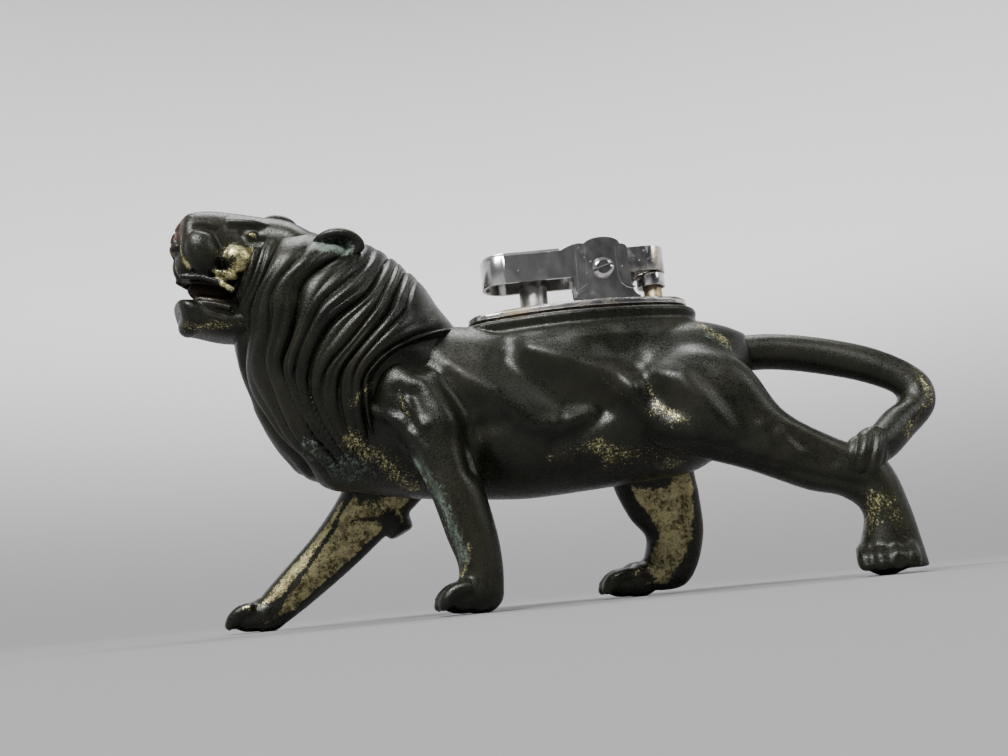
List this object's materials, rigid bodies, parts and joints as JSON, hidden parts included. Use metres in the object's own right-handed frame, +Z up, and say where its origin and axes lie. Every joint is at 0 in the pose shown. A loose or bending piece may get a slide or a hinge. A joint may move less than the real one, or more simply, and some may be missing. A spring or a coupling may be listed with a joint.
{
  "type": "novelty table lighter",
  "caption": "Table lighter: a cast striding lion in two halves with a lift-out petrol insert, thumb lever and linked snuffer arm.",
  "frame": {"origin": "on the ground under the middle of the figure's box, which is also the middle between its nose and its tail", "axes": "+Z up, the lion walks towards -X, its left side faces -Y; X is the longest extent"},
  "size_m": [0.1323, 0.0373, 0.078],
  "materials": {
    "bronzed_casting": "dark bronze patina over white metal, worn through to brass on the high spots",
    "chrome_sheet": "worn chrome plating with fine pits",
    "tank_sheet": "dull nickel",
    "steel": "hardened, dark",
    "brass": "tarnished",
    "flint_stone": "matte grey",
    "cotton": "white cotton",
    "fibre": "brown fibre",
    "seal_rubber": "black"
  },
  "bodies": {
    "lion": {"casting_left": "bronzed_casting", "casting_right": "bronzed_casting", "tail": "bronzed_casting", "seat_gasket": "fibre"},
    "insert": {"cover_plate": "chrome_sheet", "tank": "tank_sheet", "cotton_packing": "cotton", "bracket": "chrome_sheet", "bracket_rivets": "tank_sheet", "axle_screw": "chrome_sheet", "axle_nut": "steel", "wheel_spacer": "brass", "lever_studs": "steel", "plunger_barrel": "tank_sheet", "wick_tube": "brass", "wick": "cotton", "flint_tube": "brass", "flint": "flint_stone", "flint_follower": "brass", "flint_spring": "steel", "filler_gasket": "seal_rubber"},
    "thumb_lever": {"thumb_lever": "chrome_sheet", "thumb_pad": "chrome_sheet"},
    "snuffer": {"snuffer_arm": "chrome_sheet", "snuffer_cap": "chrome_sheet", "snuffer_seal": "seal_rubber", "pawl": "steel"},
    "spark_wheel": {"spark_wheel": "steel", "ratchet_wheel": "steel"},
    "plunger": {"plunger": "steel", "plunger_spring": "steel"},
    "flint_screw": {"flint_screw": "brass"},
    "filler_screw": {"filler_screw": "brass"}
  },
  "joints": [
    {"name": "insert_lift", "type": "slide", "parent": "lion", "child": "insert", "axis": [0, 0, 1], "range_m": [0, 0.03]},
    {"name": "thumb_lever_press", "type": "hinge", "parent": "insert", "child": "thumb_lever", "pos_m": [0.007, 0, 0.0557], "axis": [0, -1, 0], "range_deg": [0, 13], "stiffness_Nm_per_rad": 0.35, "springref_deg": -11.46},
    {"name": "snuffer_lift", "type": "hinge", "parent": "insert", "child": "snuffer", "pos_m": [0.011, 0, 0.0592], "axis": [0, -1, 0], "range_deg": [0, 34]},
    {"name": "spark_wheel_turn", "type": "hinge", "parent": "insert", "child": "spark_wheel", "pos_m": [0.011, 0, 0.0592], "axis": [0, -1, 0], "range_deg": [0, 34]},
    {"name": "plunger_slide", "type": "slide", "parent": "insert", "child": "plunger", "axis": [0, 0, -1], "range_m": [0, 0.0021], "stiffness_N_per_m": 0.2, "springref_m": -0.05, "deforming": ["plunger_spring"]},
    {"name": "flint_screw_turn", "type": "hinge", "parent": "insert", "child": "flint_screw", "pos_m": [0.011, 0, 0.027], "axis": [0, 0, 1], "continuous": true},
    {"name": "filler_screw_turn", "type": "hinge", "parent": "insert", "child": "filler_screw", "pos_m": [-0.0038, 0, 0.027], "axis": [0, 0, 1], "continuous": true}
  ],
  "couplings": [
    {"joint": "snuffer_lift", "follows": "thumb_lever_press", "ratio": 2.6},
    {"joint": "spark_wheel_turn", "follows": "thumb_lever_press", "ratio": 2.6},
    {"joint": "plunger_slide", "follows": "thumb_lever_press", "m_per_rad": 0.009}
  ]
}
